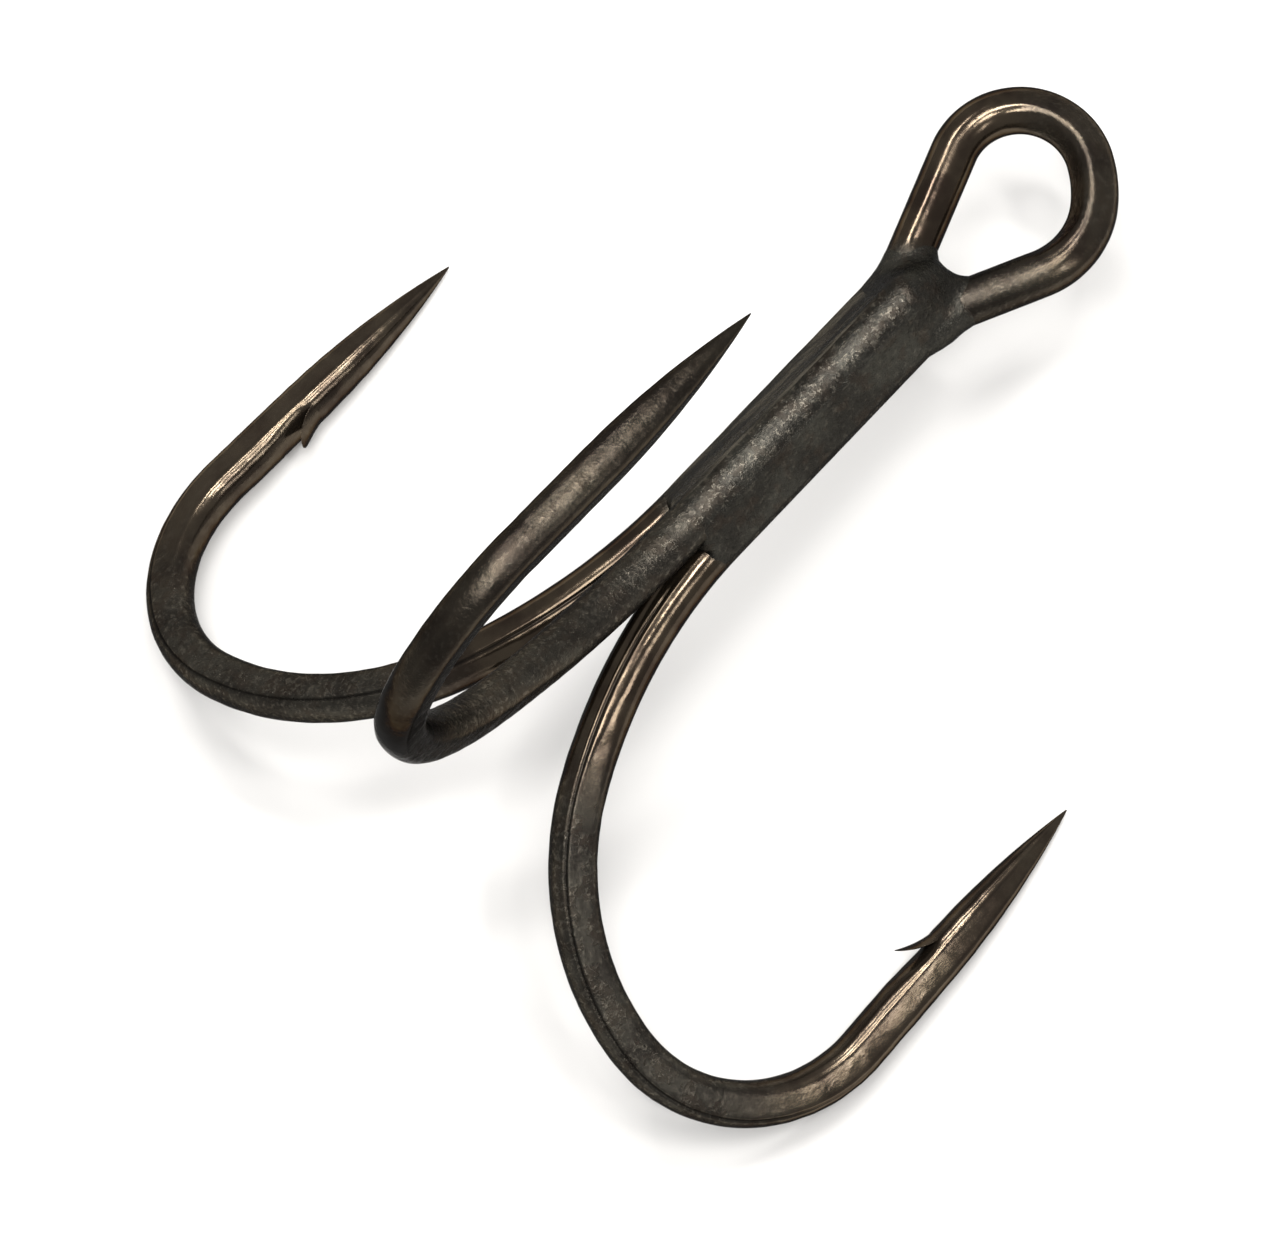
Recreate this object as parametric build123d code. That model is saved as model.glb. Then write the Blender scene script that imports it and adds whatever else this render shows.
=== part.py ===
from build123d import *
import math
import os

# Treble hook, extra-strong pattern, about size 4/0.
# A double hook (one wire: point, bend, shank, eye, shank, bend, point) and a
# single hook are brazed shank to shank, so three equal hooks stand 120 degrees
# apart around one shank. The part lies on a surface as it does when put down:
# on the outer sides of the two lower points and bends, with the third hook up.
# X runs along the shank, from the eye towards the bends; XZ is the mirror plane.
# Millimetres.

# ---- driving dimensions ----
WIRE = 2.2                       # wire diameter
PITCH = 1.04 * WIRE              # distance between shank wire centres
SEAM_FILM = 0.02 * WIRE          # braze standing proud of the wires' common tangents

# hook outline: straight shank, three tangent arcs of falling radius, point leg
SHANK_LENGTH = 6.25 * WIRE       # from the neck of the eye to the first arc
BEND_RADII = (11.3 * WIRE, 6.12 * WIRE, 3.4 * WIRE)
BEND_ANGLES = (30.2, 54.2, 98.4)
LEG_LENGTH = 6.63 * WIRE         # from the last arc to the tip
POINT_LENGTH = 4.4 * WIRE        # tapered part of the leg
TIP_RADIUS = 0.015 * WIRE
FORGED_THICKNESS = 0.9 * WIRE    # across the flats hammered on the bend
FORGED_FROM = 1.75 * WIRE        # distance from the shank axis where the flats begin
HOOK_AZIMUTHS = {"left": 120.0, "right": -120.0, "top": 0.0}

# eye: the wire spreads from the right shank, turns back over a tight, a flatter
# and a wider arc, and comes home to the left shank; hand-bent, so not quite even
NECK_RADIUS = 1.2 * WIRE
EYE_SPREAD_RIGHT = 20.3          # angle of each leg to the shank
EYE_SPREAD_LEFT = 25.4
EYE_RADII = (1.5 * WIRE, 2.75 * WIRE, 1.82 * WIRE)
EYE_FIRST_ANGLES = (143.0, 19.5) # the third arc turns what is left

# barb: a sliver raised on the inner side of the point, pointing at the bend
BARB_FROM_TIP = {"left": 3.8 * WIRE, "right": 4.15 * WIRE, "top": 3.8 * WIRE}
BARB_LENGTH = 0.9 * WIRE
BARB_HEIGHT = 0.38 * WIRE        # of its tip, over the side of the wire
BARB_WIDTH = 0.5 * WIRE
BARB_SINK = 0.22 * WIRE          # how deep its root starts in the wire

# braze: three seams along the shank, the fill in the core, and a web at the neck
TOP_WIRE_START = -0.5 * WIRE     # end of the single hook's wire, beside the neck
TOP_WIRE_ROUNDING = 0.3 * WIRE
SEAM_START = -0.3 * WIRE
SEAM_ENDS = {"left": 6.95 * WIRE, "right": 6.75 * WIRE, "rear": 6.9 * WIRE}
SEAM_AZIMUTHS = {"left": 60.0, "right": -60.0, "rear": 180.0}
CORE_END = 6.5 * WIRE
WEB_REACH = 1.2 * WIRE           # how far the web fills the crotch of the eye
WEB_WIDTH = 1.3 * WIRE
WEB_THICKNESS = 0.72 * WIRE
WEB_EDGE_RADIUS = 0.3 * WIRE     # hollow edge towards the loop

REST_TILT = 7.4                  # shank slope at which the weight is over the points that touch

AXIS_OFFSET = PITCH / math.sqrt(3)   # from the shank axis to each wire's centre
EYE_HEIGHT = -AXIS_OFFSET / 2        # plane of the eye and the double hook's shanks


# ---- outlines ----
def hook_edges(straight_start, leg_end):
    """Centre line of one hook in the XY plane: x along the shank, y outwards."""
    edges = [Line((straight_start, AXIS_OFFSET), (SHANK_LENGTH, AXIS_OFFSET))]
    for radius, angle in zip(BEND_RADII, BEND_ANGLES):
        edges.append(JernArc(edges[-1] @ 1, edges[-1] % 1, radius, angle))
    leg_start = edges[-1] @ 1
    edges.append(Line(leg_start, leg_start + (edges[-1] % 1) * leg_end))
    return edges


def leg_frame():
    """Where the point leg starts in the XY plane, and its direction."""
    leg = hook_edges(0, LEG_LENGTH)[-1]
    return leg @ 0, leg % 0


def to_azimuth(shape, azimuth):
    """Turn a shape built in the XY plane to a hook's place around the shank."""
    return Rot(90.0 - azimuth, 0, 0) * shape


def arc_shift(radius, heading, turn):
    """How far an arc carries the wire on, from a heading and a turn in degrees."""
    start = math.radians(heading)
    end = math.radians(heading + turn)
    signed = math.copysign(radius, turn)
    along = signed * (math.sin(end) - math.sin(start))
    return Vector(along, signed * (math.cos(start) - math.cos(end)))


def eye_turns():
    """Radius and turn of each arc round the eye, from the right shank to the left."""
    back = 180.0 + EYE_SPREAD_RIGHT + EYE_SPREAD_LEFT
    angles = EYE_FIRST_ANGLES + (back - sum(EYE_FIRST_ANGLES),)
    loop = [(radius, -angle) for radius, angle in zip(EYE_RADII, angles)]
    return [(NECK_RADIUS, EYE_SPREAD_RIGHT)] + loop + [(NECK_RADIUS, EYE_SPREAD_LEFT)]


def eye_leg_lengths():
    """Straight legs, right and left, that bring the loop from one shank to the other."""
    gap = Vector(0, PITCH)
    heading = 180.0
    for radius, turn in eye_turns():
        gap -= arc_shift(radius, heading, turn)
        heading += turn
    right = math.radians(180.0 + EYE_SPREAD_RIGHT)
    left = math.radians(-EYE_SPREAD_LEFT)
    across = math.cos(right) * math.sin(left) - math.sin(right) * math.cos(left)
    right_length = (gap.X * math.sin(left) - gap.Y * math.cos(left)) / across
    left_length = (gap.Y * math.cos(right) - gap.X * math.sin(right)) / across
    return right_length, left_length


def eye_edges():
    """Centre line of the loop, in the plane of the double hook's two shanks."""
    turns = eye_turns()
    right_length, left_length = eye_leg_lengths()
    edges = [JernArc((0, -PITCH / 2), (-1, 0), *turns[0])]
    edges.append(Line(edges[-1] @ 1, (edges[-1] @ 1) + (edges[-1] % 1) * right_length))
    for radius, turn in turns[1:-1]:
        edges.append(JernArc(edges[-1] @ 1, edges[-1] % 1, radius, turn))
    edges.append(Line(edges[-1] @ 1, (edges[-1] @ 1) + (edges[-1] % 1) * left_length))
    edges.append(JernArc(edges[-1] @ 1, edges[-1] % 1, *turns[-1]))
    return edges


# ---- wire ----
def rod(edges):
    """Round wire along tangent edges, built edge by edge and joined."""
    solid = None
    for edge in edges:
        section = Plane(origin=edge @ 0, z_dir=edge % 0) * Circle(WIRE / 2)
        length = sweep(section, path=edge)
        solid = length if solid is None else solid + length
    return solid


def point_solid():
    """Ogive from full wire to the tip, along +X from the origin."""
    outline = make_face([
        Line((0, 0), (0, WIRE / 2)),
        TangentArc((0, WIRE / 2), (POINT_LENGTH, TIP_RADIUS), tangent=(1, 0)),
        Line((POINT_LENGTH, TIP_RADIUS), (POINT_LENGTH, 0)),
        Line((POINT_LENGTH, 0), (0, 0)),
    ])
    return revolve(outline, Axis.X)


def barb_solid(from_tip):
    """Wedge on the side of the leg that faces the shank, in the XY plane."""
    leg_start, direction = leg_frame()
    inward = Vector(-direction.Y, direction.X, 0)
    root = leg_start + direction * (LEG_LENGTH - from_tip)
    side = inward * (WIRE / 2)
    front = root + side - inward * BARB_SINK
    back = root + side - inward * BARB_SINK - direction * (0.62 * BARB_LENGTH)
    tip = root + side + inward * BARB_HEIGHT - direction * BARB_LENGTH
    nose = root + side * 0.98 + direction * (0.35 * BARB_LENGTH)
    face = make_face(Polyline(front, nose, tip, back, close=True))
    return extrude(face, amount=BARB_WIDTH / 2, both=True)


def forging_cutters():
    """Two blocks that leave the flats on the bend, in the XY plane."""
    reach = 30 * WIRE
    block = Box(reach, reach, WIRE, align=(Align.CENTER, Align.MIN, Align.MIN))
    upper = Pos(SHANK_LENGTH, FORGED_FROM, FORGED_THICKNESS / 2) * block
    return upper, upper.mirror(Plane.XY)


def hook_solid(side, shank_start):
    """One hook from its shank to the barbed point."""
    leg_start, direction = leg_frame()
    body = rod(hook_edges(shank_start, LEG_LENGTH - POINT_LENGTH))
    point_start = leg_start + direction * (LEG_LENGTH - POINT_LENGTH)
    point = Plane(origin=point_start, x_dir=direction, z_dir=(0, 0, 1)) * point_solid()
    body = body + point
    for cutter in forging_cutters():
        body = body - cutter
    body = body + barb_solid(BARB_FROM_TIP[side])
    return to_azimuth(body, HOOK_AZIMUTHS[side])


def double_hook():
    """The two lower hooks and the eye, one continuous wire."""
    body = Pos(0, 0, EYE_HEIGHT) * rod(eye_edges())
    for side in ("left", "right"):
        body = body + hook_solid(side, 0)
    return body


def single_hook():
    """The upper hook; its shank ends in a rounded stub beside the neck."""
    body = hook_solid("top", TOP_WIRE_START)
    stub_edge = body.edges().sort_by(Axis.X)[0]
    return fillet(stub_edge, TOP_WIRE_ROUNDING)


# ---- braze ----
def seam(side, wires):
    """Braze between two shank wires, flush with their common tangent."""
    length = SEAM_ENDS[side] - SEAM_START
    depth = WIRE / 2 + SEAM_FILM
    block = Box(length, PITCH, depth, align=(Align.MIN, Align.CENTER, Align.MIN))
    block = Pos(SEAM_START, 0, AXIS_OFFSET / 2) * block
    return largest(Rot(-SEAM_AZIMUTHS[side], 0, 0) * block - wires)


def core(wires):
    """Braze drawn in between the three wires."""
    section = Plane.YZ * RegularPolygon(AXIS_OFFSET, 3, rotation=90)
    block = extrude(section, amount=CORE_END - SEAM_START)
    return largest(Pos(SEAM_START, 0, 0) * block - wires)


def neck_web(wires):
    """Braze pooled in the crotch of the eye, under the single hook's stub."""
    length = WEB_REACH + SEAM_START
    block = Box(length, WEB_WIDTH, WEB_THICKNESS, align=(Align.MIN, Align.CENTER, Align.CENTER))
    block = Pos(-WEB_REACH, 0, EYE_HEIGHT) * block
    hollow = Pos(-WEB_REACH, 0, EYE_HEIGHT) * Cylinder(WEB_EDGE_RADIUS, 2 * WIRE)
    return largest(block - hollow - wires)


def largest(shape):
    """The biggest solid of a cut, without its slivers."""
    return shape.solids().sort_by(SortBy.VOLUME)[-1]


def at_rest(shapes):
    """Lay the named shapes on the plane z = 0, centred on the origin."""
    tilted = {name: Rot(0, -REST_TILT, 0) * shape for name, shape in shapes.items()}
    solids = [solid for shape in tilted.values() for solid in shape.solids()]
    box = Compound(solids).bounding_box()
    to_origin = Pos(-box.center().X, -box.center().Y, -box.min.Z)
    return {name: to_origin * shape for name, shape in tilted.items()}


def main():
    lower = double_hook()
    upper = single_hook()
    wires = [lower, upper]
    shapes = {"double_hook": lower, "single_hook": upper}
    for side in SEAM_ENDS:
        shapes["braze_seam_" + side] = seam(side, wires)
    shapes["braze_core"] = core(wires)
    shapes["braze_neck_web"] = neck_web(wires)

    os.makedirs("parts", exist_ok=True)
    for name, shape in at_rest(shapes).items():
        export_step(shape, "parts/" + name + ".step")


if __name__ == "__main__":
    main()
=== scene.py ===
"""Treble hook: two wires and their braze, dark bronze plating, on a pale floor."""
import math

import bmesh
import bpy
import numpy as np
from mathutils import Matrix, Vector, noise


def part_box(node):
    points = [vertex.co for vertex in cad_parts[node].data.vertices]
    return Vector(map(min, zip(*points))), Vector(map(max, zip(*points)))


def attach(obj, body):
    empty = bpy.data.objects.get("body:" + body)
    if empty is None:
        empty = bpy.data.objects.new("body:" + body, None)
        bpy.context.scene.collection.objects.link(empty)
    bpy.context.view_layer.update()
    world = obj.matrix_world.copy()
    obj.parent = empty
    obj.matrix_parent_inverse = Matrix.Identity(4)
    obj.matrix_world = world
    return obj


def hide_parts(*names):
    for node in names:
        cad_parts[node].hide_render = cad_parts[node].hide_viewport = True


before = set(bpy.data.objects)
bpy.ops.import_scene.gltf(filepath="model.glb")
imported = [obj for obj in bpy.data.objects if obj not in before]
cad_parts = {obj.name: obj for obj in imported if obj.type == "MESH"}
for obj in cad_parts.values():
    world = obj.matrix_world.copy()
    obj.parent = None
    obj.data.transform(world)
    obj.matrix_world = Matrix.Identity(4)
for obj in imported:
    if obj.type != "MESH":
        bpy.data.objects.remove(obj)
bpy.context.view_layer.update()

# ---- driving dimensions, as in the CAD, in metres ----
WIRE = 0.0022
PITCH = 1.04 * WIRE
AXIS_OFFSET = PITCH / math.sqrt(3)
SHANK_LENGTH = 6.25 * WIRE
BEND_RADII = (11.3 * WIRE, 6.12 * WIRE, 3.4 * WIRE)
BEND_ANGLES = (30.2, 54.2, 98.4)
LEG_LENGTH = 6.63 * WIRE
POINT_LENGTH = 4.4 * WIRE
TIP_RADIUS = 0.015 * WIRE
FORGED_HALF = 0.445 * WIRE           # from the centre line to each flat
FORGED_START = 7.2 * WIRE            # along the wire from the neck, where the flats begin
FORGED_FULL = 12.5 * WIRE            # and where they are fully formed
NECK_RADIUS = 1.2 * WIRE
EYE_SPREAD_RIGHT = 20.3
EYE_SPREAD_LEFT = 25.4
EYE_RADII = (1.5 * WIRE, 2.75 * WIRE, 1.82 * WIRE)
EYE_FIRST_ANGLES = (143.0, 19.5)
EYE_HEIGHT = -AXIS_OFFSET / 2
TOP_WIRE_START = -0.5 * WIRE         # the single hook's end, past the neck
TOP_WIRE_NOSE = 0.85 * WIRE          # length of its rounding
WEB_MIDDLE = 0.60 * WIRE             # how far the braze fills the crotch, at its middle
WEB_SIDES = 1.25 * WIRE              # and along the legs
NECK_FILLET = (0.03 * WIRE, 0.13 * WIRE)  # braze on the outer sides of the neck, right and left
NECK_END = 1.0 * WIRE                # where its film runs out along the shank
RAMP_START = 0.25 * WIRE             # its slope starts here, over the single hook's end
RAMP_END = 1.05 * WIRE               # and reaches the eye here
SEAM_START = 0.0                     # under the neck's braze
SEAM_ENDS = {"left": 6.95 * WIRE, "right": 6.75 * WIRE, "rear": 6.9 * WIRE}
SEAM_AZIMUTHS = {"left": 60.0, "right": -60.0, "rear": 180.0}
SEAM_BLUNT = 0.3 * WIRE              # length of the seam's rounded end
SEAM_SINK = 0.42                     # how deep that end dives, in wires
SEAM_WRAP = math.radians(20.0)       # how far the seam runs up each wire
HOOK_AZIMUTHS = {"left": 120.0, "right": -120.0, "top": 0.0}
BARB_FROM_TIP = {"left": 3.8 * WIRE, "right": 4.15 * WIRE, "top": 3.8 * WIRE}
BARB_LENGTH = 0.9 * WIRE
BARB_HEIGHT = 0.38 * WIRE            # of its tip over the wire
BARB_WIDTH = 0.56 * WIRE
CUT_DEPTH = 0.17                     # of the chisel's cut behind the barb, as a share of the radius
GROOVE_AT = 0.31 * WIRE              # line left by the die, outside the centre of each flat
GROOVE_DEPTH = 0.035 * WIRE
GROOVE_HALF = 0.03 * WIRE
REST_TILT = math.radians(7.4)

# ---- where the finish changes, along the wire from the neck ----
BRAZED_END = (6.5 * WIRE, 7.0 * WIRE)
SATIN_START = {"left": 10.5 * WIRE, "right": 11.0 * WIRE, "top": 0.0}
SATIN_END = {"left": 19.5 * WIRE, "right": 19.5 * WIRE, "top": 16.5 * WIRE}
FORGED_DULLNESS = 0.85
LEG_DULLNESS = {"left": 0.2, "right": 0.2, "top": 0.5}
LEG_SATIN = (18.0 * WIRE, 21.0 * WIRE)
# darker colour on the single hook's point leg, and below on the eye's last leg
LEG_DARKENING = {"left": 0.0, "right": 0.0, "top": 0.5}
LEG_DARKENING_START = (15.0 * WIRE, 18.0 * WIRE)
DIE_LINE_START = (7.2 * WIRE, 8.5 * WIRE)
DIE_LINE_END = (21.0 * WIRE, 24.0 * WIRE)
EYE_FLAT_START = (0.37, 0.45)        # as shares of the way round the eye
EYE_FLAT_END = (0.66, 0.80)
EYE_FLAT_DULLNESS = 0.45
EYE_DARKENING = 0.35                   # on the leg where the loop ends
EYE_DARKENING_START = (0.70, 0.85)
EYE_BRAZED_END = (0.6 * WIRE, 1.2 * WIRE)
EYE_WORKED = 0.6                     # dullness of the last leg beside the neck
EYE_WORKED_END = (1.5 * WIRE, 4.5 * WIRE)
NO_TIP = 99 * WIRE                   # distance to the tip where there is none

# ---- mesh fineness ----
STEP = 0.07 * WIRE                   # between rings along a wire
AROUND = 144                         # points in a ring
CREASE = 22                          # how crisp the edges of the flats are
BALL_SEGMENTS = 9                    # in the balls that the neck's braze melts from
BALL_STEP = 0.09 * WIRE
MELT_VOXEL = 0.05 * WIRE


# ---- centre lines ----
def trail(start, heading, runs):
    """Points, headings and distances along straight and curved runs (length, turn)."""
    x, y = start
    rows = [(x, y, heading, 0.0)]
    done = 0.0
    for length, turn in runs:
        count = max(2, math.ceil(length / STEP))
        for i in range(1, count + 1):
            part = turn * i / count
            far = length * i / count
            chord = far * (math.sin(part / 2) / (part / 2) if part else 1.0)
            middle = heading + part / 2
            ahead = (x + chord * math.cos(middle), y + chord * math.sin(middle))
            rows.append((*ahead, heading + part, done + far))
        x, y, heading, done = rows[-1]
    return np.array(rows)


def hook_runs(shank_start):
    """Runs of one hook: shank, three arcs of the bend, point leg."""
    runs = [(SHANK_LENGTH - shank_start, 0.0)]
    for radius, angle in zip(BEND_RADII, BEND_ANGLES):
        turn = math.radians(angle)
        runs.append((radius * turn, turn))
    return runs + [(LEG_LENGTH, 0.0)]


def eye_runs():
    """The loop from the right shank to the left; its two legs close it."""
    back = 180.0 + EYE_SPREAD_RIGHT + EYE_SPREAD_LEFT
    angles = EYE_FIRST_ANGLES + (back - sum(EYE_FIRST_ANGLES),)
    turns = [math.radians(angle) for angle in angles]
    arcs = [(radius * turn, -turn) for radius, turn in zip(EYE_RADII, turns)]
    right = (NECK_RADIUS * math.radians(EYE_SPREAD_RIGHT), math.radians(EYE_SPREAD_RIGHT))
    left = (NECK_RADIUS * math.radians(EYE_SPREAD_LEFT), math.radians(EYE_SPREAD_LEFT))
    end = trail((0.0, -PITCH / 2), math.pi, [right] + arcs + [left])[-1]
    gap = np.array([-end[0], PITCH / 2 - end[1]])
    out, home = math.pi + math.radians(EYE_SPREAD_RIGHT), -math.radians(EYE_SPREAD_LEFT)
    directions = np.array([[math.cos(out), math.cos(home)], [math.sin(out), math.sin(home)]])
    right_leg, left_leg = np.linalg.solve(directions, gap)
    return [right, (right_leg, 0.0)] + arcs + [(left_leg, 0.0), left]


def in_hook_plane(rows, azimuth):
    """Points and tangents of a trail in a hook's plane."""
    a = math.radians(azimuth)
    outward = np.array([0.0, math.sin(a), math.cos(a)])
    along = np.array([1.0, 0.0, 0.0])
    points = rows[:, :1] * along + rows[:, 1:2] * outward
    tangents = np.cos(rows[:, 2:3]) * along + np.sin(rows[:, 2:3]) * outward
    return points, tangents


def side_normal(azimuth):
    """Normal of a hook's plane, on the side that shows from above."""
    a = math.radians(azimuth)
    normal = np.array([0.0, -math.cos(a), math.sin(a)])
    return normal if normal[2] > -1e-9 and azimuth >= 0 else -normal


def smooth(value, low, high):
    """Eased step from 0 at low to 1 at high."""
    t = np.clip((np.asarray(value, float) - low) / (high - low), 0.0, 1.0)
    return t * t * (3 - 2 * t)


def ogive(from_tip):
    """Share of the full wire's radius at a distance from the tip."""
    x = np.clip(POINT_LENGTH - from_tip, 0.0, POINT_LENGTH)
    drop = WIRE / 2 - TIP_RADIUS
    radius = (POINT_LENGTH ** 2 + drop ** 2) / (2 * drop)
    return (WIRE / 2 - radius + np.sqrt(radius ** 2 - x ** 2)) / (WIRE / 2)


def hook_line(side, shank_start=0.0):
    """One hook from its shank to the tip: everything a swept wire needs at each ring."""
    rows = trail((shank_start, AXIS_OFFSET), 0.0, hook_runs(shank_start))
    points, tangents = in_hook_plane(rows, HOOK_AZIMUTHS[side])
    from_neck = rows[:, 3] + shank_start
    from_tip = rows[-1, 3] - rows[:, 3]
    count = len(rows)
    return {
        "points": points,
        "tangents": tangents,
        "normals": np.tile(side_normal(HOOK_AZIMUTHS[side]), (count, 1)),
        "neck": from_neck,
        "tip": from_tip,
        "forged": smooth(from_neck, FORGED_START, FORGED_FULL),
        "facet": np.zeros(count),
        "barb": np.full(count, BARB_FROM_TIP[side]),
        "dull": dullness(side, from_neck),
        "darkening": LEG_DARKENING[side] * smooth(from_neck, *LEG_DARKENING_START),
        "groove": die_line(side, from_neck),
        "nose": np.ones(count),
    }


def dullness(side, from_neck):
    """Satin where brazed or forged, more so on the wires that the braze ran along."""
    start, end = SATIN_START[side], SATIN_END[side]
    brazed = 1 - smooth(from_neck, *BRAZED_END)
    forged = FORGED_DULLNESS * smooth(from_neck, start, start + 3 * WIRE)
    forged = forged * (1 - smooth(from_neck, end, end + 4 * WIRE))
    point = LEG_DULLNESS[side] * smooth(from_neck, *LEG_SATIN)
    return np.maximum(np.maximum(brazed, forged), point)


def die_line(side, from_neck):
    """Where the forging die left its line: along the lower bends."""
    if side == "top":
        return np.zeros(len(from_neck))
    return smooth(from_neck, *DIE_LINE_START) * (1 - smooth(from_neck, *DIE_LINE_END))


def eye_line():
    """The loop, with the same values at each ring as a hook's line."""
    rows = trail((0.0, -PITCH / 2), math.pi, eye_runs())
    count = len(rows)
    points = np.column_stack([rows[:, 0], rows[:, 1], np.full(count, EYE_HEIGHT)])
    tangents = np.column_stack([np.cos(rows[:, 2]), np.sin(rows[:, 2]), np.zeros(count)])
    far = rows[:, 3]
    share = far / far[-1]
    facet = smooth(share, *EYE_FLAT_START) * (1 - smooth(share, *EYE_FLAT_END))
    brazed = 1 - smooth(far, *EYE_BRAZED_END)
    worked = EYE_WORKED - EYE_WORKED * smooth(far[-1] - far, *EYE_WORKED_END)
    return {
        "points": points,
        "tangents": tangents,
        "normals": np.tile(np.array([0.0, 0.0, 1.0]), (count, 1)),
        "neck": -np.minimum(far, far[-1] - far),
        "tip": np.full(count, NO_TIP),
        "forged": np.zeros(count),
        "facet": facet,
        "barb": np.full(count, NO_TIP),
        "dull": np.maximum(brazed, np.maximum(worked, EYE_FLAT_DULLNESS * facet)),
        "darkening": EYE_DARKENING * smooth(share, *EYE_DARKENING_START),
        "groove": np.zeros(count),
        "nose": np.ones(count),
    }


def reverse(line):
    """The same line, run from its other end."""
    turned = {key: values[::-1].copy() for key, values in line.items()}
    turned["tangents"] *= -1
    return turned


def join(lines):
    """Lines end to end, without doubling the shared rings."""
    first, rest = lines[0], lines[1:]
    return {key: np.concatenate([first[key]] + [line[key][1:] for line in rest]) for key in first}


def double_line():
    """The whole double hook, from the right point round the eye to the left point."""
    line = join([reverse(hook_line("right")), eye_line(), hook_line("left")])
    turn_in = smooth(line["neck"], -0.5 * WIRE, 4.0 * WIRE)[:, None]
    up = np.array([0.0, 0.0, 1.0])
    line["normals"] = up * (1 - turn_in) + line["normals"] * turn_in
    return line


# ---- swept wire ----
def tube_faces(count, size):
    """Faces between rings of equal size."""
    faces = []
    for i in range(count - 1):
        a, b = i * size, (i + 1) * size
        for k in range(size):
            j = (k + 1) % size
            faces.append((a + k, a + j, b + j, b + k))
    return faces


def end_faces(count, size):
    """One face over each end of a tube."""
    last = (count - 1) * size
    return [tuple(range(size)), tuple(range(last, last + size))[::-1]]


ANGLES = np.linspace(0.0, 2 * math.pi, AROUND, endpoint=False)
EYE_FACETS = (math.radians(62.0), math.radians(142.0))  # outer and inner flat on the loop's bend


def section(forged, facet, groove):
    """Outline of the wire at one ring, round or with flats, and the die's line on it; that line
    also comes back alone, as painted shade in the groove.
    """
    c, s = np.cos(ANGLES), np.sin(ANGLES)
    power = 2.0 + 0.22 * forged
    radius = (WIRE / 2) / (np.abs(c) ** power + np.abs(s) ** power) ** (1 / power)
    flat = FORGED_HALF + (1 - forged) * 0.25 * WIRE
    outline = radius ** -CREASE + (flat / np.maximum(np.abs(s), 1e-6)) ** -CREASE
    if facet > 0:
        for direction in EYE_FACETS:
            flat = FORGED_HALF + (1 - facet) * 0.06 * WIRE
            outline += (flat / np.maximum(np.cos(ANGLES - direction), 1e-6)) ** -CREASE
    outline = outline ** (-1 / CREASE)
    line = np.exp(-((outline * c + GROOVE_AT) / GROOVE_HALF) ** 2) * groove
    return outline - line * GROOVE_DEPTH, line


def grain(point, scale, depth):
    """Signed unevenness at a point."""
    return noise.noise(Vector(point) * scale) * depth


def sweep(line):
    """Vertices, faces and per-vertex marks of a wire along a line, closed at both ends."""
    points = line["points"]
    tangents = line["tangents"]
    normals = line["normals"]
    across = np.cross(normals, tangents)
    across /= np.linalg.norm(across, axis=1)[:, None]
    normals = np.cross(tangents, across)
    cosines, sines = np.cos(ANGLES), np.sin(ANGLES)
    vertices, painted_edge_highlights, soot = [], [], []
    scale = ogive(line["tip"])
    for i in range(len(points)):
        forged = line["forged"][i]
        radius, groove_shade = section(forged, line["facet"][i], line["groove"][i])
        radius = radius * scale[i] * line["nose"][i]
        cut = barb_cut(line["tip"][i] - line["barb"][i])
        radius = radius * (1 - cut * np.clip(cosines - 0.55, 0.0, 1.0) / 0.45)
        ring = points[i] + np.outer(radius * cosines, across[i])
        ring = ring + np.outer(radius * sines, normals[i])
        rough = 0.012 * WIRE * scale[i] * (0.3 + 0.7 * forged)
        for k in range(AROUND):
            direction = ring[k] - points[i]
            length = max(np.linalg.norm(direction), 1e-9)
            ring[k] -= direction / length * abs(grain(ring[k], 900.0, rough))
        vertices.append(ring)
        # Painted highlight: where the outline bends sharply at the edges of the flats, bronze is
        # painted along the wire.
        bend = np.abs(np.gradient(np.gradient(radius)))
        edge = np.clip(bend / (0.0025 * WIRE), 0, 1)
        painted_edge_highlights.append(edge * forged * (1 - line["groove"][i]))
        # Painted shade in the die's groove, together with the darker legs.
        soot.append(np.maximum(groove_shade, line["darkening"][i]))
    vertices = np.concatenate(vertices)
    faces = tube_faces(len(points), AROUND)
    marks = {
        "dull": np.repeat(line["dull"], AROUND),
        "edge": np.concatenate(painted_edge_highlights),
        "soot": np.concatenate(soot),
    }
    last = (len(points) - 1) * AROUND
    for base, centre, flip in ((0, points[0], True), (last, points[-1], False)):
        top = len(vertices)
        vertices = np.vstack([vertices, centre])
        for key in marks:
            marks[key] = np.append(marks[key], marks[key][base])
        for k in range(AROUND):
            j = (k + 1) % AROUND
            faces.append((base + j, base + k, top) if flip else (base + k, base + j, top))
    return vertices, faces, marks


def barb_cut(behind):
    """How deep the chisel cut behind the barb's root goes, as a share of the radius."""
    down = smooth(behind, 0.1 * WIRE, 0.4 * WIRE)
    back = 1 - smooth(behind, 0.4 * WIRE, 1.7 * WIRE)
    return CUT_DEPTH * float(down * back)


# ---- rest position ----
def to_row(points):
    """From the shank's own frame to the row frame: tilted as it rests."""
    c, s = math.cos(REST_TILT), math.sin(REST_TILT)
    turned = np.array(points, float)
    x, z = turned[:, 0].copy(), turned[:, 2].copy()
    turned[:, 0] = x * c - z * s
    turned[:, 2] = z * c + x * s
    return turned + SHANK_ORIGIN


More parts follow.
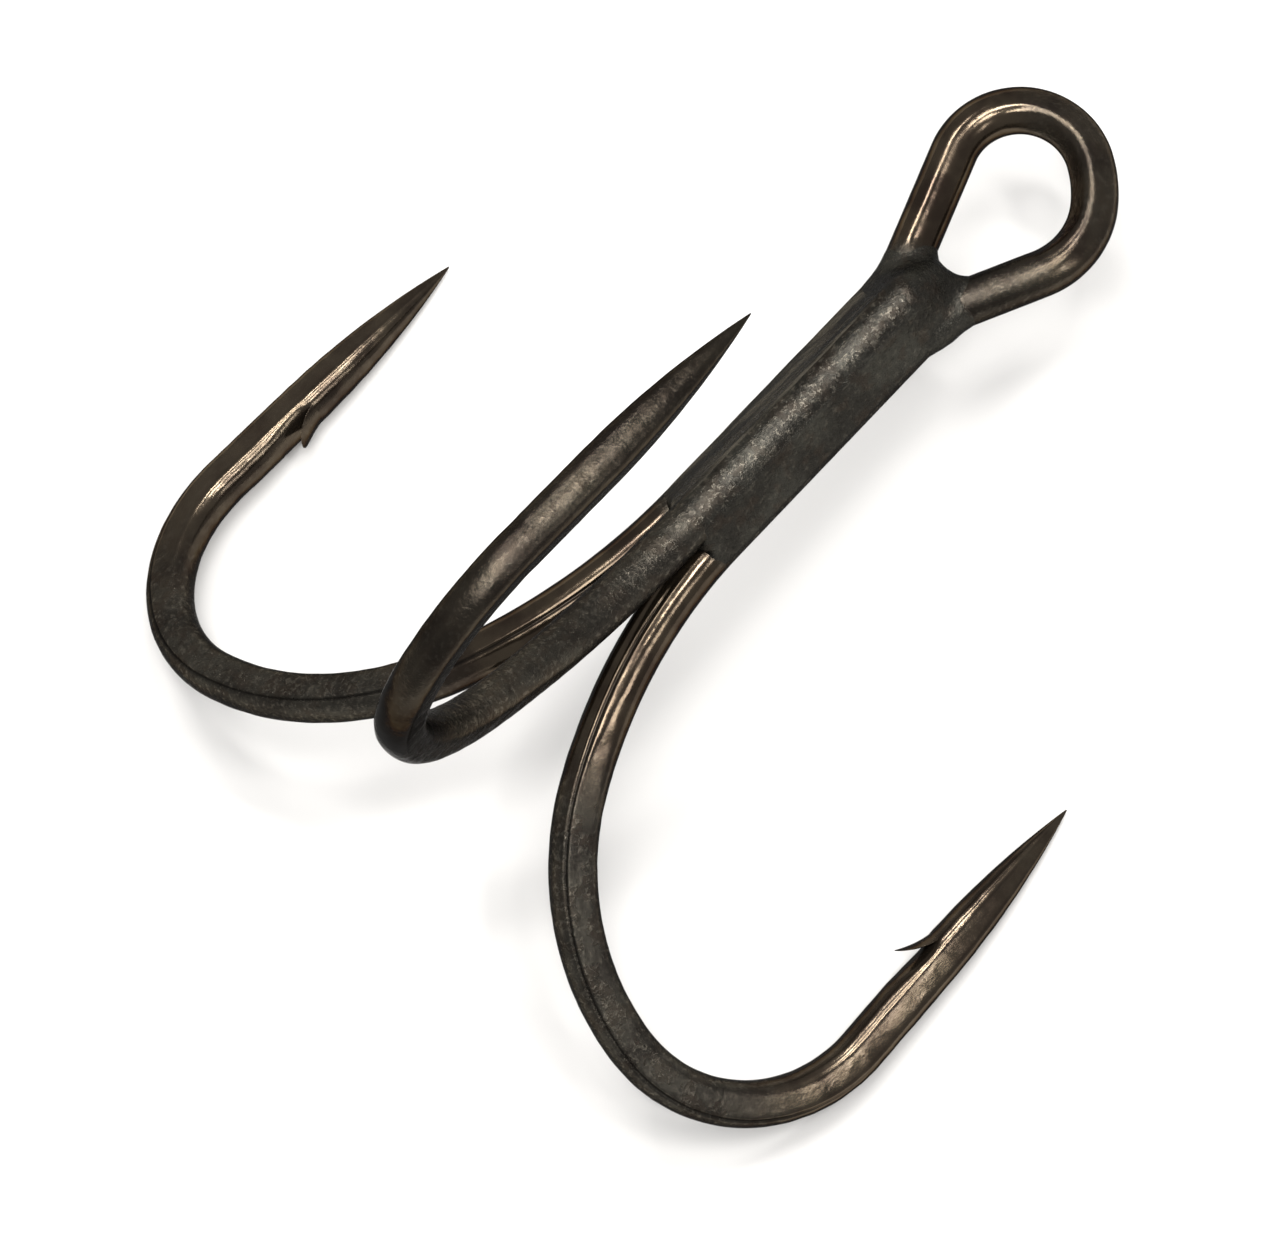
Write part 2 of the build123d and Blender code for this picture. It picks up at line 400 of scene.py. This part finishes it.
def shank_origin():
    """The loop's far end and the single hook's top meet the sides of their CAD boxes."""
    c, s = math.cos(REST_TILT), math.sin(REST_TILT)
    loop = eye_line()["points"]
    top = hook_line("top")["points"]
    far_end = (loop[:, 0] * c - loop[:, 2] * s).min() - WIRE / 2
    highest = top[:, 2] * c + top[:, 0] * s
    reach = (highest + WIRE / 2 * ogive(hook_line("top")["tip"])).max()
    left_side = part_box("double_hook")[0].x
    top_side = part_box("single_hook")[1].z
    return np.array([left_side - far_end, 0.0, top_side - reach])


SHANK_ORIGIN = shank_origin()


def mesh_object(name, vertices, faces, marks, material):
    """A piece from vertices in the shank's own frame, with its marks as attributes."""
    mesh = bpy.data.meshes.new(name)
    mesh.from_pydata([tuple(v) for v in to_row(vertices)], [], faces)
    for key, values in marks.items():
        attribute = mesh.attributes.new(key, "FLOAT", "POINT")
        attribute.data.foreach_set("value", np.asarray(values, np.float32))
    mesh.shade_smooth()
    mesh.materials.append(material)
    piece = bpy.data.objects.new(name, mesh)
    bpy.context.scene.collection.objects.link(piece)
    fix_normals(piece)
    return piece


def fix_normals(piece):
    """Turn every face outwards."""
    shell = bmesh.new()
    shell.from_mesh(piece.data)
    bmesh.ops.recalc_face_normals(shell, faces=shell.faces)
    shell.to_mesh(piece.data)
    shell.free()


# ---- barbs ----
def barb(side):
    """A scale raised from the inner side of the point by a chisel cut."""
    rows = trail((0.0, AXIS_OFFSET), 0.0, hook_runs(0.0))
    points, tangents = in_hook_plane(rows, HOOK_AZIMUTHS[side])
    tip, forward = points[-1], tangents[-1]
    normal = side_normal(HOOK_AZIMUTHS[side])
    travel = -forward if side == "right" else forward
    inward = np.cross(normal, travel)
    inward /= np.linalg.norm(inward)
    rings, spread, count = [], 28, 25
    root = BARB_FROM_TIP[side]
    for i in range(count):
        t = i / (count - 1)
        back = root + BARB_LENGTH * t
        surface = float(ogive(back)) * WIRE / 2
        outer = surface * (1.0 - 0.03 * (1 - t)) + BARB_HEIGHT * (0.18 * t + 0.82 * t ** 1.8)
        thick = WIRE * (0.012 + 0.15 * (1 - t) ** 1.1 * float(smooth(t, -0.5, 0.3)))
        rounding = math.sqrt(max(0.0, 1 - (max(0.0, t - 0.55) / 0.45) ** 2.2))
        half = BARB_WIDTH / 2 * rounding * (1 - 0.25 * float(smooth(t, 0.2, 0.9))) + 0.004 * WIRE
        ring = []
        for k in range(2 * spread):
            upper = k < spread
            w = -1 + 2 * (k % spread) / (spread - 1)
            w = w if upper else -w
            crown = outer - (half * w) ** 2 / WIRE
            if not upper:
                crown -= thick * math.sqrt(max(0.0, 1 - w * w)) + 0.002 * WIRE
            ring.append(tip - forward * back + inward * crown + normal * (half * w))
        rings.append(np.array(ring))
    size = 2 * spread
    vertices = np.concatenate(rings)
    total = len(vertices)
    marks = {
        "dull": np.full(total, 0.25),
        # A faint painted edge highlight over the whole barb.
        "edge": np.full(total, 0.1),
        "soot": np.zeros(total),
    }
    return vertices, tube_faces(count, size) + end_faces(count, size), marks


def merge(parts):
    """Several sets of vertices, faces and marks as one."""
    vertices, faces, marks = [], [], {}
    start = 0
    for part_vertices, part_faces, part_marks in parts:
        vertices.append(part_vertices)
        faces += [tuple(index + start for index in face) for face in part_faces]
        for key, values in part_marks.items():
            marks.setdefault(key, []).append(values)
        start += len(part_vertices)
    marks = {key: np.concatenate(values) for key, values in marks.items()}
    return np.concatenate(vertices), faces, marks


# ---- braze ----
def on_wire(angle, share):
    """A point of the seam's film where it thins out over a wire."""
    film = WIRE * (0.022 * smooth(share, 0.0, 0.9) - 0.006)
    return (WIRE / 2 + film) * math.sin(angle), (WIRE / 2 + film) * math.cos(angle)


def braze_seam(side):
    """Braze drawn between two shank wires, with a blunt rounded end."""
    a = math.radians(SEAM_AZIMUTHS[side])
    out = np.array([0.0, math.sin(a), math.cos(a)])
    across = np.array([0.0, math.cos(a), -math.sin(a)])
    profile = []
    for t in np.linspace(0, 1, 9)[:-1]:
        y, n = on_wire(-SEAM_WRAP * (1 - t), t)
        profile.append((-PITCH / 2 + y, n))
    for t in np.linspace(-1, 1, 25):
        profile.append((PITCH / 2 * t, WIRE / 2 + WIRE * (0.016 - 0.02 * (1 - t * t))))
    for t in np.linspace(0, 1, 9)[1:]:
        y, n = on_wire(SEAM_WRAP * t, 1 - t)
        profile.append((PITCH / 2 + y, n))
    end = SEAM_ENDS[side]
    round_from = end - SEAM_BLUNT
    stops = np.arange(SEAM_START, round_from, STEP)
    stops = np.append(stops, end - SEAM_BLUNT * (1 - np.sin(np.linspace(0, math.pi / 2, 12))))
    rings = []
    for s in stops:
        into = np.clip((s - round_from) / SEAM_BLUNT, 0, 1)
        sink = SEAM_SINK * WIRE * (1 - math.sqrt(max(0.0, 1 - into ** 2)))
        edge = 0.006 * WIRE * smooth(s, end - 0.8 * WIRE, end)
        edge = edge + 0.08 * WIRE * (1 - smooth(s, SEAM_START, 0.7 * WIRE))
        ring = []
        for y, n in profile:
            place = np.array([s, 0, 0]) + across * y + out * (AXIS_OFFSET / 2 + n - sink - edge)
            middle = 1 - (abs(y) / (PITCH / 2 + 0.2 * WIRE)) ** 2
            lump = grain(place, 420.0, 0.03 * WIRE) + grain(place, 1500.0, 0.007 * WIRE)
            place = place + out * lump * max(0.0, middle)
            ragged = grain([y * 3, 0, 7.0 * a], 700.0, 0.12 * WIRE)
            place = place + np.array([1.0, 0, 0]) * ragged * into
            ring.append(place)
        for y in np.linspace(PITCH / 2 * 0.75, -PITCH / 2 * 0.75, 9):
            ring.append(np.array([s, 0, 0]) + across * y + out * (AXIS_OFFSET * 0.30))
        rings.append(np.array(ring))
    size = len(rings[0])
    vertices = np.concatenate(rings)
    faces = tube_faces(len(rings), size) + end_faces(len(rings), size)
    # The right seam carries painted sheen: pale streaks on its facet where light would catch it.
    return vertices, faces, {"worn": np.full(len(vertices), float(side == "right"))}


def ball(centre, radius, vertices, faces):
    """Add one ball to the lists."""
    base = len(vertices)
    width = 2 * BALL_SEGMENTS
    centre = np.array(centre)
    for i in range(1, BALL_SEGMENTS):
        polar = math.pi * i / BALL_SEGMENTS
        for k in range(width):
            a = math.pi * k / BALL_SEGMENTS
            flat = math.sin(polar)
            away = np.array([flat * math.cos(a), flat * math.sin(a), math.cos(polar)])
            vertices.append(centre + radius * away)
    vertices.append(centre + np.array([0, 0, radius]))
    vertices.append(centre - np.array([0, 0, radius]))
    top, bottom = len(vertices) - 2, len(vertices) - 1
    for i in range(BALL_SEGMENTS - 2):
        row, below = base + i * width, base + (i + 1) * width
        for k in range(width):
            j = (k + 1) % width
            faces.append((row + k, below + k, below + j, row + j))
    last = base + (BALL_SEGMENTS - 2) * width
    for k in range(width):
        j = (k + 1) % width
        faces.append((base + k, base + j, top))
        faces.append((last + j, last + k, bottom))


def leg_at(leg, x, side):
    """How far sideways a leg of the eye is at x; beside the shank it runs straight."""
    if x >= 0:
        return side * PITCH / 2
    near = leg[:len(leg) // 2]
    return near[np.argmin(np.abs(near[:, 0] - x))][1]


def neck_braze(material):
    """Braze pooled in the crotch of the eye, running up over the single hook's end."""
    loop = eye_line()["points"]
    half = len(loop) // 2
    right, left = loop[:half], loop[half:][::-1]
    vertices, faces = [], []
    for x in np.arange(NECK_END, -WEB_SIDES, -BALL_STEP):
        low, high = leg_at(right, x, -1), leg_at(left, x, 1)
        ridge = (AXIS_OFFSET - EYE_HEIGHT) * (1 - float(smooth(-x, -RAMP_START, RAMP_END)))
        thin = smooth(x, 0.0, NECK_END) + smooth(-x, 0.3 * WIRE, WEB_SIDES)
        film = WIRE * (0.518 - 0.045 * float(thin))
        fillet = math.exp(-((x + 0.15 * WIRE) / (0.45 * WIRE)) ** 2)
        down = max(0.0, (-x - WEB_MIDDLE) / (WEB_SIDES - WEB_MIDDLE))
        open_from = math.sqrt(1 - (1 - down) ** 2)
        sides = np.linspace(open_from, 1.0, 9)
        for place in np.concatenate([-sides, sides]):
            side = abs(place)
            y = (low + high) / 2 + place * (high - low) / 2
            if side == 1:
                y += NECK_FILLET[int(place > 0)] * fillet * place
            sag = 4 * side * (1 - side) * 0.015 * WIRE
            ball((x, y, EYE_HEIGHT + ridge * (1 - side)), film - sag, vertices, faces)
    piece = mesh_object("neck_braze", np.array(vertices), faces, {}, material)
    melt(piece)
    for vertex, move in zip(piece.data.vertices, [unevenness(v) for v in piece.data.vertices]):
        vertex.co += move
    piece.data.shade_smooth()
    return piece


def melt(piece):
    """Run a heap of balls together into one smooth skin."""
    remesh = piece.modifiers.new("melt", "REMESH")
    remesh.mode = "VOXEL"
    remesh.voxel_size = MELT_VOXEL
    remesh.use_smooth_shade = True
    soften = piece.modifiers.new("soften", "SMOOTH")
    soften.factor = 0.6
    soften.iterations = 14
    bpy.context.view_layer.update()
    evaluated = piece.evaluated_get(bpy.context.evaluated_depsgraph_get())
    melted = bpy.data.meshes.new_from_object(evaluated)
    piece.modifiers.clear()
    piece.data = melted
    melted.update()


def unevenness(vertex):
    """Slow and fine waves on the neck's braze."""
    slow = noise.noise(vertex.co * 450.0) * 0.012 * WIRE
    fine = noise.noise(vertex.co * 1700.0) * 0.005 * WIRE
    return vertex.normal * (slow + fine)


# ---- materials ----
class Nodes:
    """Short way to write a material's node tree."""

    def __init__(self, name):
        self.material = bpy.data.materials.new(name)
        self.material.use_nodes = True
        self.tree = self.material.node_tree
        self.shader = self.tree.nodes["Principled BSDF"]
        self.place = self.add("ShaderNodeTexCoord").outputs["Object"]

    def add(self, kind, **settings):
        node = self.tree.nodes.new(kind)
        for key, value in settings.items():
            setattr(node, key, value)
        return node

    def link(self, source, target):
        self.tree.links.new(source, target)

    def mark(self, name):
        """A value given at each vertex of the mesh."""
        return self.add("ShaderNodeAttribute", attribute_name=name).outputs["Fac"]

    def noise(self, scale, detail, roughness=0.55, stretch=None):
        """Noise over the object, evenly or stretched along an axis."""
        node = self.add("ShaderNodeTexNoise")
        node.inputs["Scale"].default_value = scale
        node.inputs["Detail"].default_value = detail
        node.inputs["Roughness"].default_value = roughness
        if stretch:
            mapping = self.add("ShaderNodeMapping")
            mapping.inputs["Scale"].default_value = stretch
            self.link(self.place, mapping.inputs["Vector"])
            self.link(mapping.outputs["Vector"], node.inputs["Vector"])
        else:
            self.link(self.place, node.inputs["Vector"])
        return node.outputs["Fac"]

    def ramp(self, value, low, high, start=0.0, end=1.0):
        """Eased change from start to end as a value goes from low to high."""
        node = self.add("ShaderNodeMapRange", interpolation_type="SMOOTHSTEP")
        node.inputs["From Min"].default_value = low
        node.inputs["From Max"].default_value = high
        node.inputs["To Min"].default_value = start
        node.inputs["To Max"].default_value = end
        self.link(value, node.inputs["Value"])
        return node.outputs["Result"]

    def math(self, operation, a, b):
        """Two values or sockets through one operation."""
        node = self.add("ShaderNodeMath", operation=operation)
        for socket, value in zip(node.inputs, (a, b)):
            if isinstance(value, (int, float)):
                socket.default_value = value
            else:
                self.link(value, socket)
        return node.outputs[0]

    def mix(self, factor, a, b):
        """From colour a to colour b, by a factor."""
        node = self.add("ShaderNodeMix", data_type="RGBA")
        self.link(factor, node.inputs["Factor"])
        for socket, value in zip((node.inputs[6], node.inputs[7]), (a, b)):
            if isinstance(value, tuple):
                socket.default_value = (*value, 1.0)
            else:
                self.link(value, socket)
        return node.outputs[2]

    def finish(self, colour, roughness, height, metallic, tint):
        """Wire everything to the shader."""
        self.link(colour, self.shader.inputs["Base Color"])
        self.link(roughness, self.shader.inputs["Roughness"])
        bump = self.add("ShaderNodeBump")
        bump.inputs["Distance"].default_value = BUMP_DISTANCE
        bump.inputs["Strength"].default_value = 1.0
        self.link(height, bump.inputs["Height"])
        self.link(bump.outputs["Normal"], self.shader.inputs["Normal"])
        self.shader.inputs["Metallic"].default_value = metallic
        self.shader.inputs["Specular Tint"].default_value = (*tint, 1.0)
        return self.material


GREEN_GREY = (0.052, 0.050, 0.043)
DARK_GREY = (0.034, 0.032, 0.028)
BROWN = (0.046, 0.034, 0.026)
UMBER = (0.084, 0.066, 0.047)
# colour of the painted highlight along the edges of the flats
PAINTED_EDGE_BRONZE = (0.30, 0.235, 0.165)
# pale specks in the grain, and painted sheen on one braze seam
PALE_SPECK_AND_SHEEN = (0.150, 0.136, 0.112)
# dark specks in the grain, and painted shade in the die's groove
DARK_SPECK_AND_SHADE = (0.010, 0.009, 0.008)
FLOOR_TONES = ((0.80, 0.80, 0.80), (0.82, 0.82, 0.82))
BUMP_DISTANCE = 0.00004


def wire_material():
    """Dark bronze plating: semi-gloss on round wire, satin and grainy where forged or brazed, with
    painted highlights along the edges of the flats and painted shade in the die's groove.
    """
    n = Nodes("bronze_plating")
    dull, edge = n.mark("dull"), n.mark("edge")
    cloud = n.noise(420.0, 4.0)
    patch = n.noise(900.0, 3.0)
    grit = n.noise(3800.0, 4.0, 0.75)
    fine = n.noise(11000.0, 2.0, 0.6)
    colour = n.mix(n.ramp(cloud, 0.35, 0.65), BROWN, UMBER)
    satin = n.mix(n.ramp(cloud, 0.4, 0.6), DARK_GREY, GREEN_GREY)
    satin = n.mix(n.ramp(patch, 0.45, 0.62, 0.0, 0.35), satin, BROWN)
    satin = n.mix(n.ramp(grit, 0.30, 0.44, 0.6, 0.0), satin, DARK_SPECK_AND_SHADE)
    satin = n.mix(n.ramp(grit, 0.52, 0.64, 0.0, 0.6), satin, PALE_SPECK_AND_SHEEN)
    colour = n.mix(dull, colour, satin)
    # Painted highlight: bronze painted along the edges of the flats.
    colour = n.mix(n.math("MULTIPLY", edge, 0.3), colour, PAINTED_EDGE_BRONZE)
    # Painted shade in the die's groove, and the darker legs, mixed toward near-black.
    colour = n.mix(n.math("MULTIPLY", n.mark("soot"), 0.9), colour, DARK_SPECK_AND_SHADE)
    rough = n.ramp(dull, 0.0, 1.0, 0.15, 0.27)
    rough = n.math("ADD", rough, n.ramp(patch, 0.35, 0.65, -0.03, 0.05))
    glossy = n.math("MULTIPLY", n.ramp(grit, 0.50, 0.62, 0.0, 0.13), dull)
    rough = n.math("SUBTRACT", rough, glossy)
    height = n.math("MULTIPLY", grit, n.ramp(dull, 0.0, 1.0, 0.06, 1.2))
    height = n.math("ADD", height, n.math("MULTIPLY", fine, n.ramp(dull, 0.0, 1.0, 0.03, 0.1)))
    height = n.math("ADD", height, n.math("MULTIPLY", patch, n.ramp(dull, 0.0, 1.0, 0.3, 1.5)))
    return n.finish(colour, rough, height, 0.92, (0.06, 0.055, 0.05))


def braze_material():
    """The same plating over braze: grainy and sparkling, greyer than the wire, with painted sheen
    streaks on one seam.
    """
    n = Nodes("braze_plating")
    cloud = n.noise(330.0, 4.0)
    patch = n.noise(1100.0, 3.0)
    grit = n.noise(3600.0, 4.0, 0.75)
    fine = n.noise(12000.0, 2.0, 0.6)
    colour = n.mix(n.ramp(cloud, 0.38, 0.62), DARK_GREY, GREEN_GREY)
    colour = n.mix(n.ramp(patch, 0.5, 0.66, 0.0, 0.35), colour, BROWN)
    # Painted sheen: pale streaks along the right seam's facet.
    streak = n.noise(1500.0, 4.0, 0.65, (0.12, 1.0, 1.0))
    worn = n.math("MULTIPLY", n.ramp(streak, 0.40, 0.60, 0.1, 0.75), n.mark("worn"))
    colour = n.mix(worn, colour, PALE_SPECK_AND_SHEEN)
    colour = n.mix(n.ramp(grit, 0.30, 0.44, 0.35, 0.0), colour, DARK_SPECK_AND_SHADE)
    colour = n.mix(n.ramp(grit, 0.54, 0.66, 0.0, 0.25), colour, PALE_SPECK_AND_SHEEN)
    rough = n.ramp(grit, 0.4, 0.62, 0.30, 0.12)
    height = n.math("ADD", n.math("MULTIPLY", grit, 1.5), n.math("MULTIPLY", fine, 0.1))
    height = n.math("ADD", height, n.math("MULTIPLY", patch, 0.9))
    return n.finish(colour, rough, height, 0.90, (0.06, 0.06, 0.055))


def floor_material():
    """Pale matte paper, very slightly uneven."""
    n = Nodes("pale_floor")
    tone = n.mix(n.ramp(n.noise(6.0, 2.0), 0.3, 0.7), *FLOOR_TONES)
    n.link(tone, n.shader.inputs["Base Color"])
    n.shader.inputs["Roughness"].default_value = 0.9
    n.shader.inputs["Specular IOR Level"].default_value = 0.0
    return n.material


WIRE_FINISH = wire_material()
BRAZE_FINISH = braze_material()

# ---- pieces ----
double_parts = [sweep(double_line()), barb("left"), barb("right")]
double_wire = mesh_object("double_hook_wire", *merge(double_parts), WIRE_FINISH)
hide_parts("double_hook")

stub = hook_line("top", TOP_WIRE_START)
into = np.clip(1 - (stub["neck"] - TOP_WIRE_START) / TOP_WIRE_NOSE, 0, 1)
stub["nose"] = np.sqrt(np.clip(1 - into ** 2, 0.0004, 1))
single_parts = [sweep(stub), barb("top")]
single_wire = mesh_object("single_hook_wire", *merge(single_parts), WIRE_FINISH)
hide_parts("single_hook")

for wire in (double_wire, single_wire):
    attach(wire, "root")

for side in SEAM_ENDS:
    skin = mesh_object("braze_" + side, *braze_seam(side), BRAZE_FINISH)
    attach(skin, "root")
    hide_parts("braze_seam_" + side)

neck = neck_braze(BRAZE_FINISH)
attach(neck, "root")
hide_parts("braze_neck_web")

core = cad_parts["braze_core"]
core.data.materials.clear()
core.data.materials.append(BRAZE_FINISH)

# ---- floor, light and camera ----
FLOOR_SIZE = 3.0
FLOOR_DROP = 0.00002                 # under the lowest point of the wires
bpy.ops.mesh.primitive_plane_add(size=FLOOR_SIZE, location=(0, 0, -FLOOR_DROP))
floor = bpy.context.object
floor.name = "floor"
floor.data.materials.append(floor_material())

world = bpy.data.worlds.new("studio")
bpy.context.scene.world = world
world.use_nodes = True
sky = world.node_tree.nodes["Background"]
sky.inputs["Color"].default_value = (1.0, 1.0, 1.0, 1.0)
sky.inputs["Strength"].default_value = 0.4

AIM = Vector((0.008299, 0.002291, 0.018))
LAMP_DISTANCE = 0.6
LAMP_COLOUR = (1.0, 0.975, 0.94)
CAMERA_DISTANCE = 0.39976
CAMERA_AZIMUTH = 72.07
CAMERA_ELEVATION = 77.987
CAMERA_ROLL = math.radians(-30.19)
LENS = 252.83


def direction_to(azimuth, elevation):
    """Unit vector towards an azimuth and elevation in degrees."""
    a, e = math.radians(azimuth), math.radians(elevation)
    return Vector((math.cos(a) * math.cos(e), math.sin(a) * math.cos(e), math.sin(e)))


def softbox(name, azimuth, elevation, width, height, power):
    """A rectangular lamp that faces the hook."""
    lamp = bpy.data.lights.new(name, "AREA")
    lamp.shape = "RECTANGLE"
    lamp.size = width
    lamp.size_y = height
    lamp.energy = power
    lamp.color = LAMP_COLOUR
    holder = bpy.data.objects.new(name, lamp)
    bpy.context.scene.collection.objects.link(holder)
    holder.location = AIM + LAMP_DISTANCE * direction_to(azimuth, elevation)
    holder.rotation_euler = (AIM - holder.location).to_track_quat("-Z", "Y").to_euler()


softbox("key", -112.0, 77.0, 0.18, 0.18, 1.3)
softbox("ridge_strip", -166.0, 68.5, 0.16, 0.05, 1.0)
softbox("point_strip", 138.0, 67.5, 0.09, 0.05, 0.7)
softbox("low_strip", 108.0, 42.0, 0.05, 0.12, 0.3)
softbox("bend_strip", 79.0, 81.0, 0.10, 0.26, 1.6)
softbox("left_strip", -118.0, 50.0, 0.12, 0.05, 0.8)

toward = direction_to(CAMERA_AZIMUTH, CAMERA_ELEVATION)
level_right = Vector((0, 0, 1)).cross(toward).normalized()
level_up = toward.cross(level_right)
right = level_right * math.cos(CAMERA_ROLL) + level_up * math.sin(CAMERA_ROLL)
up = toward.cross(right)
camera_data = bpy.data.cameras.new("camera")
camera_data.lens = LENS
camera_data.sensor_width = 36.0
camera_data.clip_start = 0.01
camera = bpy.data.objects.new("camera", camera_data)
bpy.context.scene.collection.objects.link(camera)
turn = Matrix((right, up, toward)).transposed().to_4x4()
camera.matrix_world = Matrix.Translation(AIM + CAMERA_DISTANCE * toward) @ turn
bpy.context.scene.camera = camera
bpy.context.scene.view_settings.view_transform = "Standard"
